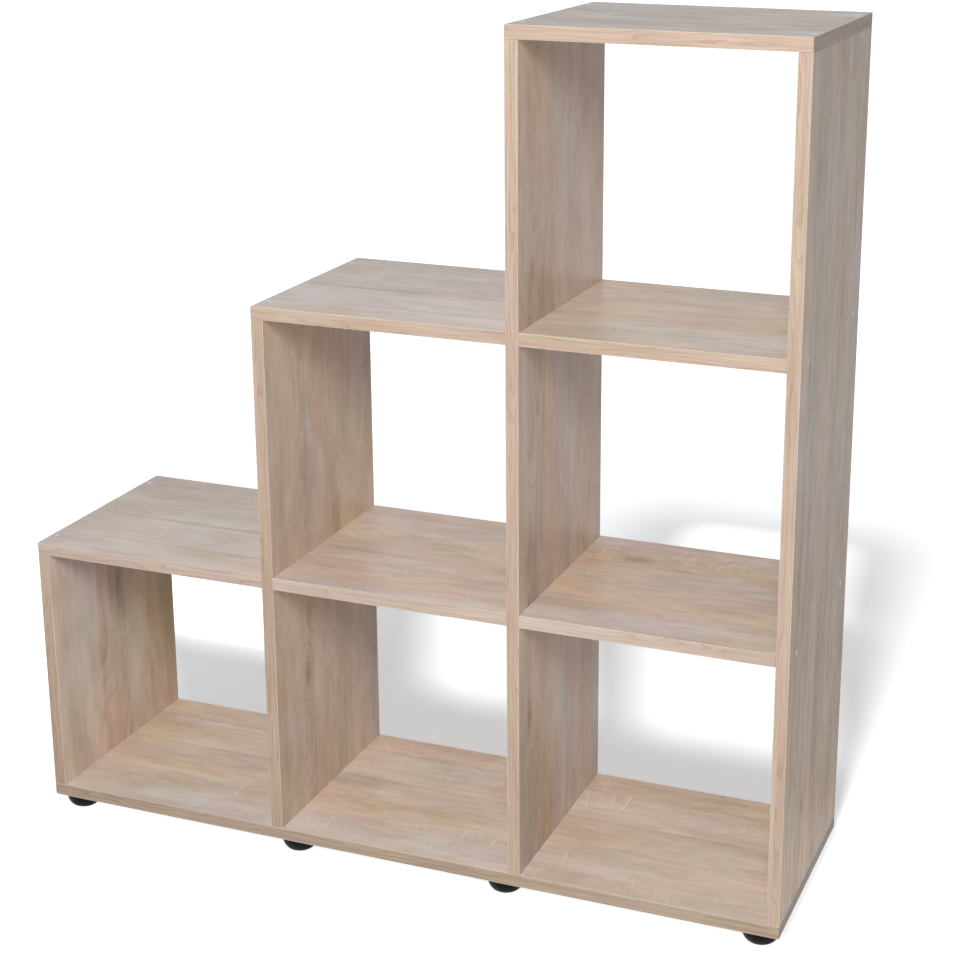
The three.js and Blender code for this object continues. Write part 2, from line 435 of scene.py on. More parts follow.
# The ends that show are darker than the fronts, a painted shade for the side they face.
SHADED_END_BAND_TONES = [
    (0.00, (0.240, 0.165, 0.120, 1)),
    (0.35, (0.360, 0.270, 0.210, 1)),
    (0.60, (0.450, 0.350, 0.280, 1)),
    (1.00, (0.580, 0.480, 0.400, 1)),
]
BASE_END_TONES = [
    (0.00, (0.050, 0.036, 0.030, 1)),
    (0.60, (0.125, 0.094, 0.078, 1)),
    (1.00, (0.210, 0.165, 0.140, 1)),
]
BAND_PINK = (1.03, 0.96, 1.00, 1)
BAND_OLIVE = (0.98, 1.03, 0.91, 1)
BAND_WORN_HIGHLIGHT = (0.86, 0.76, 0.62, 1)
BAND_LAYERS = {
    "wander": (8, 20, 0.0, 2, 0.5),
    "streak": (4, 330, 5.1, 2, 0.6),
    "fibre": (30, 1300, 9.7, 1, 0.5),
    "patch": (7, 60, 13.3, 2, 0.5),
    "figure": (9, 70, 19.9, 1, 0.5),
    "warmth": (11, 160, 27.1, 1, 0.5),
}
# The part of the print that each side's band is cut from.
BAND_PAGES = {"front": 51.3, "back": 61.7, "left": 71.9, "right": 81.1}


def oak_band(name, along, across, low, high, page, tones, painted_falloff):
    """The edge band's print: warmer, with fine wavy lines along it, and pale along its corners, as scraped
    wear with a painted highlight. A painted falloff darkens it toward its low end.
    """
    wander_reach = 4.0 * MM
    rings_in_metre, figure_bend, ring_power = 210, 6, 4
    middle_light = 0.55
    streak_share, fibre_share, patch_share, ring_share = 0.55, 0.35, 0.45, 0.25
    hues = 1.6
    worn_highlit_start, worn_highlit_end, worn_highlit_share = 0.9 * MM, 0.25 * MM, 0.6
    bump_depth = 0.015 * MM

    material, start = new_finish(name)
    parts = start.place().parts()
    run = parts.other(along)
    side = parts.other(across)
    middle = (low[across] + high[across]) / 2
    half = (high[across] - low[across]) / 2

    def layer(kind, over):
        return start.layer(run, over, page, BAND_LAYERS[kind])

    grain = side + layer("wander", side) * wander_reach
    fibre = layer("fibre", grain)
    ring = start.maths("FRACT", grain * rings_in_metre + layer("figure", side) * figure_bend)
    light = middle_light + layer("streak", grain) * streak_share + fibre * fibre_share
    light = light + layer("patch", side) * patch_share - ring ** ring_power * ring_share
    # Painted shade: the band darkens toward its low end, or lightens there as painted light where this is
    # below 0.
    if painted_falloff:
        light = light - (high[along] - run) * (painted_falloff / (high[along] - low[along]))
    warm = (0.5 + layer("warmth", grain) * hues).clamped()
    colour = light.toned(tones).dyed(warm.tinted(BAND_PINK, BAND_OLIVE))
    # Pale along the band's corners: scraped wear, and a painted highlight on the arris.
    off = start.maths("ABSOLUTE", side - middle)
    worn_and_highlit = off.ramp(half - worn_highlit_start, half - worn_highlit_end)
    colour = (worn_and_highlit * worn_highlit_share).tinted(colour, BAND_WORN_HIGHLIGHT)
    roughness = 0.42 - worn_and_highlit * 0.08
    close_finish(start, colour, roughness, fibre, bump_depth, Specular_IOR_Level=OAK_GLOSS)
    return material


def chipboard():
    """The raw board, seen only in its holes and at the ends that another board hides."""
    chips_in_metre = 520.0
    chip_relief = 0.2 * MM
    material, start = new_finish("raw_chipboard")
    values = {"Vector": start.place(), "Scale": chips_in_metre}
    chip = start.node("ShaderNodeTexVoronoi", {"feature": "F1"}, values)
    shade = start.node("ShaderNodeSeparateColor", {}, {"Color": chip.other("Color")})
    stops = [(0.0, (0.25, 0.15, 0.08, 1)), (0.5, (0.46, 0.32, 0.19, 1)), (1.0, (0.62, 0.48, 0.31, 1))]
    colour = shade.toned(stops)
    close_finish(start, colour, 0.85, chip, chip_relief)
    return material


raw_chipboard = chipboard()


def add_piece(name, mesh):
    """Puts a mesh in the scene as a piece of the shelf, which is one rigid body."""
    piece = bpy.data.objects.new(name, mesh)
    scene.collection.objects.link(piece)
    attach(piece, "root")
    return piece


def board_block(name, low, high, rounding, keep_edge):
    """A box with the chosen edges rounded off."""
    steps, round_profile = 3, 0.5
    block = bmesh.new()
    bmesh.ops.create_cube(block, size=1)
    for vertex in block.verts:
        for axis in range(3):
            vertex.co[axis] = low[axis] if vertex.co[axis] < 0 else high[axis]
    edges = [edge for edge in block.edges if keep_edge(edge)]
    roundness = {"offset": rounding, "segments": steps, "profile": round_profile, "affect": "EDGES"}
    bmesh.ops.bevel(block, geom=edges, **roundness)
    mesh = bpy.data.meshes.new(name)
    block.to_mesh(mesh)
    block.free()
    return mesh


def edge_band(node, side, axis, sign, low, high, along, across, page, tones, painted_falloff=0.0):
    """The strip that closes one edge of a board, with its two long outer corners rounded."""
    strip_low, strip_high = Vector(low), Vector(high)
    if sign > 0:
        strip_low[axis] = high[axis] - BAND_THICKNESS
    else:
        strip_high[axis] = low[axis] + BAND_THICKNESS
    outer = high[axis] if sign > 0 else low[axis]
    tiny = BAND_THICKNESS / 10

    def on_outside(edge):
        return all(abs(vertex.co[axis] - outer) < tiny for vertex in edge.verts)

    name = f"{node}_band_{side}"
    mesh = board_block(name, strip_low, strip_high, BAND_ROUNDING, on_outside)
    mesh.materials.append(oak_band(name, along, across, low, high, page + BAND_PAGES[side], tones, painted_falloff))
    add_piece(name, mesh)


boards = {}


def oak_board(
    node,
    along,
    banded_ends,
    seen_staves,
    knots,
    page,
    tones=BAND_TONES,
    end_tones=SHADED_END_BAND_TONES,
    contrast=1.0,
    painted_falloff=0.0,
    hues=1.6,
    painted_foot_shade=0.0,
    lines=0.0,
    gloss=OAK_GLOSS,
):
    """One board of the shelf: the faced core, then a band on the front, the back and each bare end.

    Contrast and hues scale the print's noise in light and in colour, and lines adds long streaks. The
    painted foot shade darkens and warms the print toward its low end, a painted shade. The painted falloff
    darkens the front and back bands toward that end, a painted shade, and where it is below 0 it lightens
    them there as painted light.
    """
    low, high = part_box(node)
    across = 2 if along == 0 else 0
    core_low, core_high = Vector(low), Vector(high)
    core_low.y += BAND_THICKNESS
    core_high.y -= BAND_THICKNESS
    if "left" in banded_ends:
        core_low.x += BAND_THICKNESS
    if "right" in banded_ends:
        core_high.x -= BAND_THICKNESS
    mesh = board_block(f"{node}_board", core_low, core_high, FACE_ROUNDING, lambda edge: True)
    for polygon in mesh.polygons:
        polygon.material_index = 0 if abs(polygon.normal[across]) > 0.5 else 1
    name = f"{node}_print"
    hidden_staves = chance_staves(page)
    staves = (hidden_staves, seen_staves)
    looks = (contrast, hues, painted_foot_shade, lines, gloss)
    mesh.materials.append(oak_print(name, along, across, low, high, staves, knots, page, *looks))
    mesh.materials.append(raw_chipboard)
    core = add_piece(f"{node}_board", mesh)
    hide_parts(node)
    boards[node] = core
    edge_band(node, "front", 1, -1, low, high, along, across, page, tones, painted_falloff)
    edge_band(node, "back", 1, 1, low, high, along, across, page, tones, painted_falloff)
    end_low, end_high = Vector(low), Vector(high)
    end_low.y += BAND_THICKNESS
    end_high.y -= BAND_THICKNESS
    if "left" in banded_ends:
        edge_band(node, "left", 0, -1, end_low, end_high, 1, 2, page, end_tones)
    if "right" in banded_ends:
        edge_band(node, "right", 0, 1, end_low, end_high, 1, 2, page, end_tones)


base_staves = [
    (0.20, 0.70, -0.20, 0.15, 0.6),
    (0.33, 0.55, -0.10, 0.10, 1.0),
    (0.56, 0.22, 0.05, 0.35, 0.3),
    (0.58, -0.30, 0.10, 0.10, 0.0),
    (0.66, 0.40, 0.05, 0.10, 0.2),
    (0.83, 0.35, 0.10, 0.25, 1.0),
    (0.845, -0.30, 0.20, 0.10, 0.0),
    (1.00, 0.25, 0.35, 0.30, 0.2),
]
# The base's bands darken toward its left end, a painted shade.
base_looks = {"tones": BASE_BAND_TONES, "end_tones": BASE_END_TONES, "painted_falloff": 0.06, "hues": 1.1}
oak_board("base_panel", 0, ("left", "right"), base_staves, [], 1.3, **base_looks)


# Uprights
# Four boards that stand on the base, one to three compartments high. Their grain runs upward. The front and
# back are banded, and the raw ends are hidden between the base and the tops.
upright_staves = {
    "upright_1": [
        (0.07, 1.15, -0.10, 0.10, 0.0),
        (0.35, 0.95, -0.30, 0.30, 0.2),
        (0.45, 0.40, 0.15, 0.70, 0.0),
        (0.57, 0.00, 0.20, 1.00, 0.1),
        (0.66, 0.40, 0.10, 0.15, 0.3),
        (0.76, 0.50, 0.25, 0.10, 1.0),
        (0.90, 0.00, 0.70, 0.25, 0.2),
        (1.00, -0.20, 1.10, 0.15, 0.0),
    ],
    "upright_2": [
        (0.24, 0.10, 0.10, 0.20, 0.2),
        (0.33, 0.05, 0.30, 0.80, 0.6),
        (0.345, -0.50, -0.05, 0.10, 0.0),
        (0.56, 0.05, -0.05, 0.20, 0.3),
        (0.66, -0.20, 0.25, 0.30, 0.0),
        (0.73, 0.20, 0.05, 0.10, 0.0),
        (1.00, 0.40, -0.20, 0.40, 0.2),
    ],
    "upright_3": [
        (0.10, 0.15, -0.35, 0.20, 0.0),
        (0.30, -0.15, -0.20, 0.80, 0.3),
        (0.39, 0.05, -0.15, 0.20, 0.1),
        (0.57, 0.25, -0.35, 0.15, 0.9),
        (0.585, -0.35, -0.25, 0.10, 0.0),
        (0.80, 0.25, -0.25, 0.30, 0.2),
        (1.00, 0.40, -0.25, 0.20, 0.1),
    ],
    "upright_4": [
        (0.12, 0.20, 0.10, 0.20, 0.0),
        (0.30, -0.05, -0.55, 0.30, 0.0),
        (0.48, 0.20, -0.10, 0.20, 0.1),
        (0.60, -0.10, -0.30, 0.50, 0.0),
        (0.80, 0.15, -0.15, 0.20, 0.1),
        (1.00, 0.05, -0.40, 0.30, 0.0),
    ],
}
# Each knot is its height, its distance from the front, its size, and 1 where it is on the right face.
upright_knots = {
    "upright_1": [(0.262, 0.152, 0.026, 1)],
    "upright_2": [(0.215, 0.083, 0.012, 1)],
    "upright_3": [(0.790, 0.045, 0.011, 1), (0.235, 0.035, 0.014, 1)],
    "upright_4": [(0.150, 0.090, 0.010, 1)],
}
# The left uprights' bands darken toward the floor, a painted shade.
upright_painted_falloffs = (0.28, 0.20, 0.05, 0.0)
# The right upright's print darkens and warms toward its foot, a painted shade.
right_side_looks = {"contrast": 1.2, "painted_foot_shade": 0.24, "lines": 0.45, "gloss": 0.05}
upright_page = 5.9
page_step = 3.7
for number, (node, staves) in enumerate(upright_staves.items()):
    looks = right_side_looks if node == "upright_4" else {}
    page = upright_page + page_step * number
    oak_board(node, 2, (), staves, upright_knots[node], page, painted_falloff=upright_painted_falloffs[number], **looks)


# Step tops
# A board on each column, over the upright on its left. The low and the middle one butt against the next
# upright, and the tall one covers both of its uprights. The ends that show are banded in a darker tone, a
# painted shade.
# The three tops share one print, painted darker and cooler from the low top to the tall one: a painted
# shade, as less light falls on the higher tops.
low_staves = [
    (0.17, 1.15, -0.15, 0.15, 0.1),
    (0.185, 0.30, -0.15, 0.10, 0.0),
    (0.45, 1.10, -0.25, 0.30, 0.2),
    (0.475, 0.10, -0.15, 0.20, 0.0),
    (0.72, 0.80, -0.25, 0.40, 0.2),
    (1.00, 0.60, -0.25, 0.30, 0.3),
]
shaded_middle_staves = [
    (0.17, 0.70, -0.50, 0.15, 0.1),
    (0.185, -0.10, -0.35, 0.10, 0.0),
    (0.45, 0.65, -0.65, 0.30, 0.2),
    (0.475, -0.30, -0.35, 0.20, 0.0),
    (0.72, 0.30, -0.75, 0.40, 0.2),
    (1.00, 0.20, -0.75, 0.30, 0.3),
]
# The tall top's print is the darkest and coolest, with little change in hue: painted shade and a painted
# cool sheen.
shaded_tall_staves = [
    (0.20, -1.30, -1.20, 0.15, 0.0),
    (0.52, -1.35, -1.20, 0.30, 0.0),
    (0.75, -1.15, -1.20, 0.20, 0.1),
    (1.00, -1.00, -1.30, 0.30, 0.0),
]
# The low top's bands lighten a little toward its left end, painted light.
oak_board("top_low", 0, ("left",), low_staves, [], 22.1, STEP_BAND_TONES, painted_falloff=-0.05, hues=0.8)
oak_board("top_middle", 0, ("left",), shaded_middle_staves, [], 26.3, hues=0.8)
oak_board("top_tall", 0, ("left", "right"), shaded_tall_staves, [], 29.9, hues=0.5)


# Shelves
# Three boards between the uprights, held at each end by dowels or connector screws, so their ends are raw
# and hidden. Front and back are banded and lie flush with the uprights.
middle_shelf_staves = [
    (0.20, 0.50, -0.50, 0.15, 0.2),
    (0.42, -0.05, -0.05, 0.20, 0.2),
    (0.45, -0.40, -0.05, 0.20, 0.0),
    (0.70, -0.12, -0.05, 0.30, 0.4),
    (1.00, 0.20, -0.40, 0.20, 0.2),
]
tall_shelf_1_staves = [
    (0.16, 0.25, -0.40, 0.20, 0.2),
    (0.175, -0.35, -0.25, 0.10, 0.0),
    (0.45, -0.20, -0.15, 0.15, 0.1),
    (0.47, -0.55, -0.15, 0.10, 0.0),
    (0.69, -0.18, -0.25, 0.20, 0.2),
    (0.715, -0.50, -0.25, 0.30, 0.0),
    (1.00, -0.12, -0.15, 0.50, 0.8),
]
tall_shelf_2_staves = [
    (0.35, -0.05, -0.45, 0.15, 0.1),
    (0.43, -0.30, -0.30, 0.20, 0.0),
    (0.70, -0.15, -0.45, 0.20, 0.1),
    (1.00, -0.20, -0.40, 0.25, 0.2),
]
oak_board("shelf_middle_1", 0, (), middle_shelf_staves, [], 33.7, STEP_BAND_TONES)
shelf_knots = [(0.245, 0.222, 0.014, 1)]
# This shelf's bands lighten toward its left end, painted light.
oak_board("shelf_tall_1", 0, (), tall_shelf_1_staves, shelf_knots, 38.3, STEP_BAND_TONES, painted_falloff=-0.20)
oak_board("shelf_tall_2", 0, (), tall_shelf_2_staves, [], 42.9)


# Dowels
# Fluted beech pins, 8 mm thick, that pass through an inner upright and hold the two boards that meet it in
# line. Their ends are chamfered so that they find their holes.
DRILL_GAP = 0.2 * MM
DRILL_PAST = 1.0 * MM
DRILL_FACETS = 32
dowel_radius = 4.0 * MM
dowel_flute = 0.35 * MM
dowel_flutes = 18
dowel_facets = dowel_flutes * 4
dowel_chamfer = 1.0 * MM


def ring(radius, height, facets):
    """Points round the Z axis. The radius is a number, or a function of the angle."""
    points = []
    for facet in range(facets):
        angle = facet * math.tau / facets
        reach = radius(angle) if callable(radius) else radius
        points.append(Vector((reach * math.cos(angle), reach * math.sin(angle), height)))
    return points


def skinned(name, rings, turn, has_ends=True, finish_index=0):
    """A closed mesh over rings that go from bottom to top, with flat ends, or joined end to end."""
    sharp_angle = math.radians(35)
    shape = bmesh.new()
    rows = [[shape.verts.new(turn @ point) for point in points] for points in rings]
    pairs = list(zip(rows, rows[1:]))
    if has_ends:
        shape.faces.new(reversed(rows[0]))
        shape.faces.new(rows[-1])
    else:
        pairs.append((rows[-1], rows[0]))
    for row, after in pairs:
        for corner in range(len(row)):
            beside = (corner + 1) % len(row)
            shape.faces.new((row[corner], row[beside], after[beside], after[corner]))
    for face in shape.faces:
        face.smooth = True
        face.material_index = finish_index
    mesh = bpy.data.meshes.new(name)
    shape.to_mesh(mesh)
    shape.free()
    mesh.set_sharp_from_angle(angle=sharp_angle)
    return mesh


def seat(node, outward):
    """The turn and place of a piece whose own Z axis points outward, and whose top end is at its origin."""
    low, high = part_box(node)
    middle = (Vector(low) + Vector(high)) / 2
    reach = abs((Vector(high) - Vector(low)).dot(outward)) / 2
    turn = outward.to_track_quat("Z", "Y").to_matrix().to_4x4()
    return Matrix.Translation(middle + outward * reach) @ turn


drills = {}


def drill(outline, turn, nodes):
    """Notes a round hole for these boards, given as radius and height from its bottom to its mouth."""
    for node in nodes:
        drills.setdefault(node, []).append((outline, turn))


def beech():
    """Turned beech: pinkish straw, with fibres along the pin and short dark flecks."""
    fibre_rate, fibre_side_rate = 30, 1400
    fleck_rate, fleck_side_rate, fleck_page = 240, 1900, 5.3
    fibre_relief = 0.05 * MM
    material, start = new_finish("turned_beech")
    run = start.place().parts()
    side, rise = run.other("Y"), run.other("Z")
    fibre = start.noise(run * fibre_rate, side * fibre_side_rate, rise * fibre_side_rate, 2)
    fleck_rise = rise * fleck_side_rate + fleck_page
    fleck = start.noise(run * fleck_rate, side * fleck_side_rate, fleck_rise, 0).ramp(0.20, 0.32)
    stops = [(0.0, (0.50, 0.31, 0.18, 1)), (0.5, (0.69, 0.48, 0.30, 1)), (1.0, (0.80, 0.62, 0.42, 1))]
    colour = (0.5 + fibre - fleck * 0.5).toned(stops)
    close_finish(start, colour, 0.6 + fibre * 0.2, fibre, fibre_relief)
    return material


turned_beech = beech()
# Each dowel's upright, and the boards at its two ends.
dowel_boards = {
    "dowel_2_1": ("top_low", "upright_2", "shelf_middle_1"),
    "dowel_3_1": ("shelf_middle_1", "upright_3", "shelf_tall_1"),
    "dowel_3_2": ("top_middle", "upright_3", "shelf_tall_2"),
}


def fluted(reach):
    """The reach of a fluted pin at an angle."""
    return lambda angle: reach - dowel_flute * max(0.0, math.cos(angle * dowel_flutes)) ** 2


for label, nodes in dowel_boards.items():
    for side in ("front", "back"):
        node = f"{label}_{side}"
        turn = seat(node, Vector((1, 0, 0)))
        low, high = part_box(node)
        length = high[0] - low[0]
        rings = [
            ring(fluted(dowel_radius - dowel_chamfer), -length, dowel_facets),
            ring(fluted(dowel_radius), dowel_chamfer - length, dowel_facets),
            ring(fluted(dowel_radius), -dowel_chamfer, dowel_facets),
            ring(fluted(dowel_radius - dowel_chamfer), 0, dowel_facets),
        ]
        mesh = skinned(f"{node}_pin", rings, turn)
        mesh.materials.append(turned_beech)
        dowel = add_piece(f"{node}_pin", mesh)
        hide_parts(node)
        reach = dowel_radius + DRILL_GAP
        drill([(reach, -length - DRILL_PAST), (reach, DRILL_PAST)], turn, nodes)


# Connector screws
# Zinc-plated furniture screws, 50 mm long, with a plain shank under a cylinder head and a coarse thread cut
# into the chipboard beyond. They are driven with a 3 mm hexagon key, and the heads lie sunk in the board.
screw_facets = 24
screw_length = 50.0 * MM
screw_sink = 1.3 * MM
head_radius = 3.5 * MM
head_height = 3.0 * MM
head_rounding = 0.3 * MM
shank_radius = 2.9 * MM
shank_length = 9.0 * MM
thread_crest = 2.5 * MM
thread_root = 1.8 * MM
thread_pitch = 3.0 * MM
thread_slope = 4
thread_steps = 6
tip_radius = 0.5 * MM
tip_length = 4.0 * MM
key_flats = 3.0 * MM
key_depth = 2.4 * MM
key_bevel = 0.25 * MM
CAP_RADIUS = 3.9 * MM


def zinc():
    """Bright zinc plate, a little cloudy."""
    clouds_in_metre = 700.0
    cloud_relief = 0.01 * MM
    material, start = new_finish("zinc_plate")
    values = {"Vector": start.place(), "Scale": clouds_in_metre, "Detail": 2.0}
    cloud = start.node("ShaderNodeTexNoise", {}, values)
    stops = [(0.0, (0.50, 0.50, 0.50, 1)), (0.5, (0.64, 0.64, 0.65, 1)), (1.0, (0.76, 0.76, 0.77, 1))]
    colour = cloud.toned(stops)
    close_finish(start, colour, 0.22 + cloud * 0.2, cloud, cloud_relief, Metallic=1.0)
    return material


zinc_plate = zinc()


def hexagon(flats):
    """The reach of a hexagon at an angle."""
    sixth = math.tau / 6
    return lambda angle: flats / 2 / math.cos((angle + sixth / 2) % sixth - sixth / 2)


def screw_rings():
    """The screw, with the top of its head at the height 0, from its tip to the bottom of its socket."""
    thread_top = -head_height - shank_length
    thread_length = thread_top + screw_length
    rings = [ring(tip_radius, -screw_length, screw_facets)]
    steps = round(thread_length / thread_pitch * thread_steps)
    for step in range(1, steps):
        rise = step * thread_length / steps
        taper = min(1.0, rise / tip_length)

        def winding(angle, rise=rise, taper=taper):
            turn_share = (rise / thread_pitch - angle / math.tau) % 1
            ridge = max(0.0, 1 - abs(turn_share - 0.5) * thread_slope)
            core = tip_radius + (thread_root - tip_radius) * taper
            return core + (thread_crest - thread_root) * ridge * taper

        rings.append(ring(winding, -screw_length + rise, screw_facets))
    rings.append(ring(thread_root, thread_top, screw_facets))
    rings.append(ring(shank_radius, thread_top, screw_facets))
    rings.append(ring(shank_radius, -head_height, screw_facets))
    rings.append(ring(head_radius, -head_height, screw_facets))
    rings.append(ring(head_radius, -head_rounding, screw_facets))
    rings.append(ring(head_radius - head_rounding, 0, screw_facets))
    rings.append(ring(hexagon(key_flats + key_bevel * 2), 0, screw_facets))
    rings.append(ring(hexagon(key_flats), -key_bevel, screw_facets))
    rings.append(ring(hexagon(key_flats), -key_depth, screw_facets))
    return rings


# Every screw's own outward direction, the board that its head lies in and the one that it draws up.
screw_boards = {}
for number in range(1, 5):
    screw_boards[f"base_{number}"] = (Vector((0, 0, -1)), "base_panel", f"upright_{number}")
for number, top in ((1, "top_low"), (2, "top_middle"), (3, "top_tall"), (4, "top_tall")):
    screw_boards[f"top_{number}"] = (Vector((0, 0, 1)), top, f"upright_{number}")
for level in (1, 2):
    screw_boards[f"side_{level}"] = (Vector((1, 0, 0)), "upright_4", f"shelf_tall_{level}")

head_hole = CAP_RADIUS + DRILL_GAP
shank_hole = shank_radius + DRILL_GAP
thread_hole = thread_crest + DRILL_GAP
for label, (outward, outer, inner) in screw_boards.items():
    for side in ("front", "back"):
        node = f"screw_{label}_{side}"
        turn = seat(node, outward)
        mesh = skinned(f"{node}_steel", screw_rings(), turn)
        mesh.materials.append(zinc_plate)
        screw = add_piece(f"{node}_steel", mesh)
        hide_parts(node)
        hole = [
            (thread_hole, -screw_length - DRILL_PAST),
            (thread_hole, -head_height - shank_length - DRILL_GAP),
            (shank_hole, -head_height - shank_length - DRILL_GAP),
            (shank_hole, -head_height - DRILL_GAP),
            (head_hole, -head_height - DRILL_GAP),
            (head_hole, screw_sink + DRILL_PAST),
        ]
        drill(hole, turn, (outer, inner))


# Screw caps
# White moulded plugs that hide the screw heads on every face that shows. Each has a stem pressed into the
# hexagon socket, and its top lies level with the board.
cap_thickness = 1.2 * MM
cap_rounding = 0.3 * MM
cap_rounding_steps = 4
cap_stem_radius = 1.2 * MM
cap_stem_length = 1.8 * MM
cap_stem_taper = 0.8
cap_stem_straight = 0.75
cap_dimple_radius = 0.55 * MM
cap_dimple_taper = 0.6
cap_dimple_depth = 0.12 * MM
cap_facets = 48


def white_plastic():
    """Moulded white plastic with a faint grain."""
    grains_in_metre = 1500.0
    grain_relief = 0.01 * MM
    material, start = new_finish("white_plastic")
    values = {"Vector": start.place(), "Scale": grains_in_metre, "Detail": 1.0}
    grain = start.node("ShaderNodeTexNoise", {}, values)
    stops = [(0.0, (0.78, 0.77, 0.74, 1)), (1.0, (0.88, 0.875, 0.85, 1))]
    colour = grain.toned(stops)
    close_finish(start, colour, 0.32 + grain * 0.12, grain, grain_relief)
    return material


white_cap = white_plastic()
cap_outline = [
    (cap_stem_radius * cap_stem_taper, -cap_thickness - cap_stem_length),
    (cap_stem_radius, -cap_thickness - cap_stem_length * cap_stem_straight),
    (cap_stem_radius, -cap_thickness),
    (CAP_RADIUS - cap_rounding / 2, -cap_thickness),
    (CAP_RADIUS, -cap_thickness + cap_rounding / 2),
]
for step in range(cap_rounding_steps + 1):
    lean = step / cap_rounding_steps * math.pi / 2
    reach = CAP_RADIUS - cap_rounding * (1 - math.cos(lean))
    cap_outline.append((reach, cap_rounding * (math.sin(lean) - 1)))
cap_outline.append((cap_dimple_radius, 0))
cap_outline.append((cap_dimple_radius * cap_dimple_taper, -cap_dimple_depth))

for label, (outward, outer, inner) in screw_boards.items():
    if label.startswith("base"):
        continue
    for side in ("front", "back"):
        node = f"cap_{label}_{side}"
        rings = [ring(reach, height, cap_facets) for reach, height in cap_outline]
        mesh = skinned(f"{node}_plug", rings, seat(node, outward))
        mesh.materials.append(white_cap)
        cap = add_piece(f"{node}_plug", mesh)
        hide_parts(node)


# Glides
# Black moulded bowls that the base stands on. Each is flat underneath with a small recess for the head of
# the steel nail that holds it, and the nail is driven up through it into the base.
bowl_height = 19.0 * MM
bowl_radius = 24.0 * MM
bowl_flat_radius = 12.0 * MM
bowl_rounding = 0.6 * MM
bowl_facets = 64
bowl_steps = 14
recess_radius = 4.0 * MM
recess_depth = 1.6 * MM
nail_head_radius = 3.4 * MM
nail_head_height = 0.9 * MM
nail_radius = 1.3 * MM
nail_reach = 11.0 * MM
nail_tip = 2.0 * MM
nail_tip_radius = nail_radius / 8


def black_plastic():
    """Moulded black plastic, with a fine grain and dull scuffs where it slides on the floor."""
    grains_in_metre = 1100.0
    grain_relief = 0.02 * MM
    scuff_height = 1.5 * MM
    clean, scuffed = (0.006, 0.0055, 0.0055, 1), (0.045, 0.043, 0.040, 1)
    gloss = 0.05
    material, start = new_finish("black_plastic")
    place = start.place()
    rise = place.parts().other("Z")
    values = {"Vector": place, "Scale": grains_in_metre, "Detail": 1.0}
    grain = start.node("ShaderNodeTexNoise", {}, values)
    scuff = (1 - rise.ramp(0.0, scuff_height)) * grain.ramp(0.4, 0.6)
    colour = scuff.tinted(clean, scuffed)
    roughness = 0.42 + grain * 0.1 + scuff * 0.3
    close_finish(start, colour, roughness, grain, grain_relief, Specular_IOR_Level=gloss)
    return material


black_bowl = black_plastic()
bowl_outline = [
    (nail_radius, recess_depth),
    (recess_radius - bowl_rounding / 2, recess_depth),
    (recess_radius, recess_depth - bowl_rounding / 2),
    (recess_radius, bowl_rounding / 3),
    (recess_radius + bowl_rounding / 3, 0),
    (bowl_flat_radius - bowl_rounding, 0),
]
for step in range(bowl_steps + 1):
    lean = step / bowl_steps * math.pi / 2
    reach = bowl_flat_radius + (bowl_radius - bowl_flat_radius) * math.sin(lean)
    bowl_outline.append((reach, max(bowl_height * (1 - math.cos(lean)) - bowl_rounding, 0) if step else 0))
bowl_outline.append((bowl_radius, bowl_height - bowl_rounding / 2))
bowl_outline.append((bowl_radius - bowl_rounding / 2, bowl_height))
bowl_outline.append((nail_radius, bowl_height))
nail_outline = [
    (nail_head_radius - bowl_rounding / 2, recess_depth - nail_head_height),
    (nail_head_radius, recess_depth - nail_head_height / 2),
    (nail_head_radius, recess_depth),
    (nail_radius, recess_depth),
    (nail_radius, bowl_height + nail_reach - nail_tip),
    (nail_tip_radius, bowl_height + nail_reach),
]
for number in range(1, 5):
    for side in ("front", "back"):
        node = f"glide_{number}_{side}"
        low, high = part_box(node)
        middle = (Vector(low) + Vector(high)) / 2
        turn = Matrix.Translation((middle.x, middle.y, low[2]))
        rings = [ring(reach, height, bowl_facets) for reach, height in bowl_outline]
        mesh = skinned(f"{node}_bowl", rings, turn, has_ends=False)
        mesh.materials.append(black_bowl)
        bowl = add_piece(f"{node}_bowl", mesh)
        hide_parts(node)
        rings = [ring(reach, height, screw_facets) for reach, height in nail_outline]
        mesh = skinned(f"{node}_nail", rings, turn)
        mesh.materials.append(zinc_plate)
        add_piece(f"{node}_nail", mesh)
        reach = nail_radius + DRILL_GAP
        hole = [(reach, bowl_height - DRILL_PAST), (reach, bowl_height + nail_reach + DRILL_PAST)]
        drill(hole, turn, ["base_panel"])


# Bored holes
# Every hole is drilled in the finished board, so raw chipboard shows inside it.
for node, holes in drills.items():
    cutter_mesh = bpy.data.meshes.new(f"{node}_holes")
    joined = bmesh.new()
    for outline, turn in holes:
        rings = [ring(reach, height, DRILL_FACETS) for reach, height in outline]
        hole = skinned("hole", rings, turn, finish_index=1)
        joined.from_mesh(hole)
        bpy.data.meshes.remove(hole)
    joined.to_mesh(cutter_mesh)
    joined.free()
    cutter = bpy.data.objects.new(f"{node}_holes", cutter_mesh)
    scene.collection.objects.link(cutter)
    board = boards[node]
    bore = board.modifiers.new("holes", "BOOLEAN")
    bore.operation = "DIFFERENCE"
    bore.solver = "EXACT"
    bore.object = cutter
    solid = board.evaluated_get(bpy.context.evaluated_depsgraph_get())
    drilled = bpy.data.meshes.new_from_object(solid)
    board.modifiers.clear()
    board.data = drilled
    bpy.data.objects.remove(cutter)
    bpy.data.meshes.remove(cutter_mesh)


# Floor and light
# A plain white floor. One broad soft lamp at the front right lights the shelf, a smaller and higher one
# lights only the floor and casts the shelf's shadow on it, and everything round them is white. The floor
# also glows for the camera, and in patches painted light lifts its shadow to white.
floor_radius = 30.0
floor_facets = 64
floor_colour = (0.95, 0.95, 0.95, 1)
bounce_colour = (0.52, 0.49, 0.45, 1)
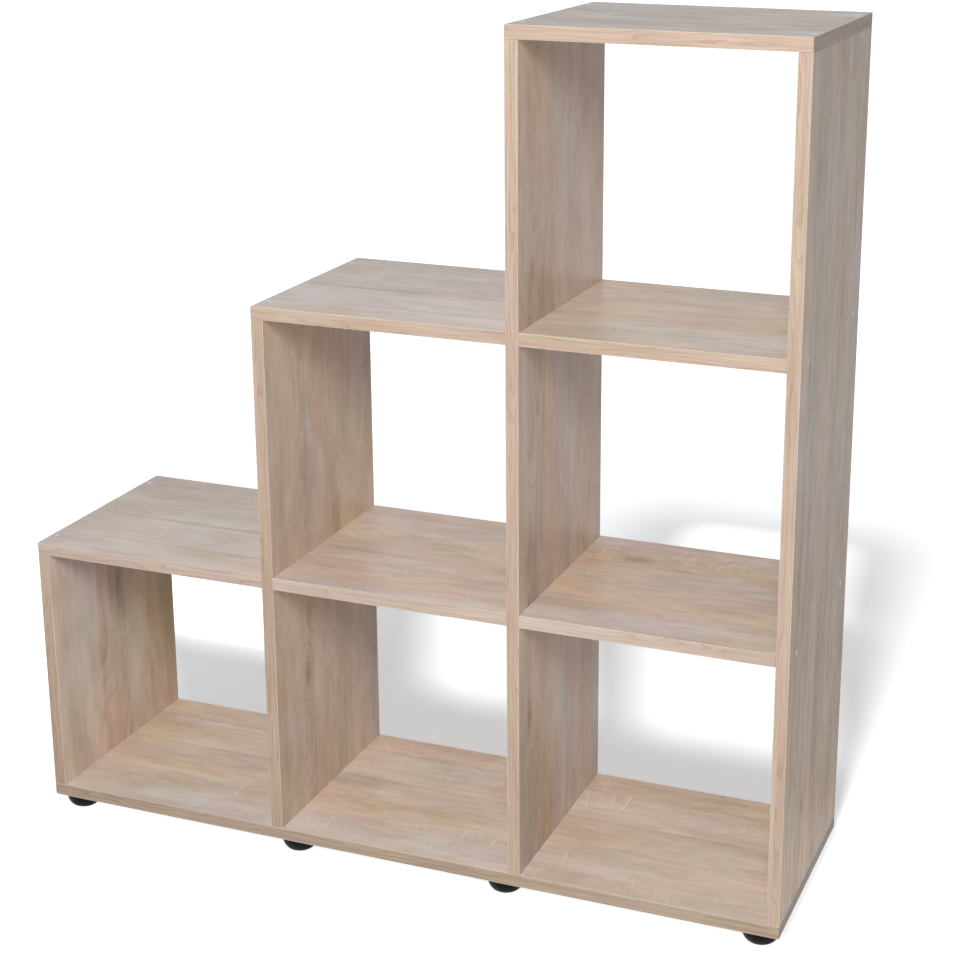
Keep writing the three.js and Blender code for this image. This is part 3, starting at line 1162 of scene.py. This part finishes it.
# The floor's own glow near the shelf, and the distances over which it rises to white.
floor_near = 0.42
floor_rise = (0.3, 3.2)
# Painted light: where the floor glows full white over the shelf's shadow: in front, beside the base at its
# right and its left, and where light would come through the compartments. Each is its left edge on the X
# axis, its lean to the left with the distance back, its width, its nearest edge and its depth.
painted_light_patches = [
    (-8.00, 0.00, 16.00, -8.00, 7.915),
    (0.49, 0.00, 8.00, -8.00, 8.20),
    (-8.00, 0.64, 7.57, -8.00, 8.90),
    (-0.46, 0.55, 0.34, 0.41, 0.41),
    (-0.025, 0.43, 0.26, 0.37, 0.45),
    (0.262, 0.31, 0.29, 0.35, 0.45),
    (0.097, 0.10, 0.33, 0.84, 0.39),
]
painted_light_blur = 0.075
soft_place = (0.75, -2.65, 2.35)
soft_size = 1.1
soft_power = 85.0
shadow_place = (0.62, -1.57, 2.61)
shadow_size = 0.32
shadow_power = 85.0
lamp_aim = Vector((0.0, 0.0, 0.5))
# The light from all round, and how much it gains toward the front and the back.
fill_least = 0.07
fill_gain = 0.56
fill_colour = (0.94, 0.99, 1.08, 1)


def in_sight(start):
    """1 for what the camera sees, also in gloss or through glass, and 0 for what lights the shelf."""
    path = start.node("ShaderNodeLightPath", {}, {}, "Is Camera Ray")
    return (path + path.other("Is Glossy Ray") + path.other("Is Transmission Ray")).clamped()


floor_mesh = bpy.data.meshes.new("floor")
disc = bmesh.new()
bmesh.ops.create_circle(disc, cap_ends=True, radius=floor_radius, segments=floor_facets)
disc.to_mesh(floor_mesh)
disc.free()
floor = bpy.data.objects.new("floor", floor_mesh)
scene.collection.objects.link(floor)
floor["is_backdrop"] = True
floor_material, start = new_finish("white_floor")
seen = in_sight(start)
place = start.place()
spread = start.node("ShaderNodeVectorMath", {"operation": "LENGTH"}, {0: place}, "Value")
across = place.parts()
back = across.other("Y")
bright = spread.ramp(*floor_rise)
# Painted light: in each patch the floor glows full white over its shadow.
for near_left, lean, wide, near, deep in painted_light_patches:
    left = across + back * lean - near_left
    patch = left.ramp(-painted_light_blur, painted_light_blur) * (wide - left).ramp(-painted_light_blur, painted_light_blur)
    patch = patch * (back - near).ramp(-painted_light_blur, painted_light_blur)
    patch = patch * (near + deep - back).ramp(-painted_light_blur, painted_light_blur)
    bright = start.maths("MAXIMUM", bright, patch)
level = floor_near + bright * (1 - floor_near)
glow = start.node("ShaderNodeEmission", {}, {"Color": (1, 1, 1, 1), "Strength": seen * level})
matt = start.node("ShaderNodeBsdfDiffuse", {}, {"Color": seen.tinted(bounce_colour, floor_colour)})
both = start.node("ShaderNodeAddShader", {}, {0: matt, 1: glow})
start.node("ShaderNodeOutputMaterial", {}, {"Surface": both})
floor_mesh.materials.append(floor_material)


def add_lamp(name, place, size, power, floor_state):
    """A disc lamp aimed at the middle of the shelf. It lights the floor alone, or all but the floor."""
    lamp_data = bpy.data.lights.new(name, "AREA")
    lamp_data.shape = "DISK"
    lamp_data.size = size
    lamp_data.energy = power
    lamp = bpy.data.objects.new(name, lamp_data)
    scene.collection.objects.link(lamp)
    lamp.location = place
    lamp.rotation_mode = "QUATERNION"
    lamp.rotation_quaternion = (lamp_aim - Vector(place)).to_track_quat("-Z", "Y")
    lit = bpy.data.collections.new(f"{name}_lit")
    lit.objects.link(floor)
    lit.collection_objects[0].light_linking.link_state = floor_state
    lamp.light_linking.receiver_collection = lit


add_lamp("soft_lamp", soft_place, soft_size, soft_power, "EXCLUDE")
add_lamp("shadow_lamp", shadow_place, shadow_size, shadow_power, "INCLUDE")

world = bpy.data.worlds.new("white_room")
scene.world = world
world.use_nodes = True
world.node_tree.nodes.clear()
start = Shade(world.node_tree)
seen = in_sight(start)
depth = start.node("ShaderNodeTexCoord", {}, {}, "Generated").parts().other("Y")
strength = seen.mixed(depth * depth * fill_gain + fill_least, 1.0)
tint = seen.tinted(fill_colour, (1, 1, 1, 1))
sky = start.node("ShaderNodeBackground", {}, {"Color": tint, "Strength": strength})
start.node("ShaderNodeOutputWorld", {}, {"Surface": sky})


# Size of the dressed shelf.
low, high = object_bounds()
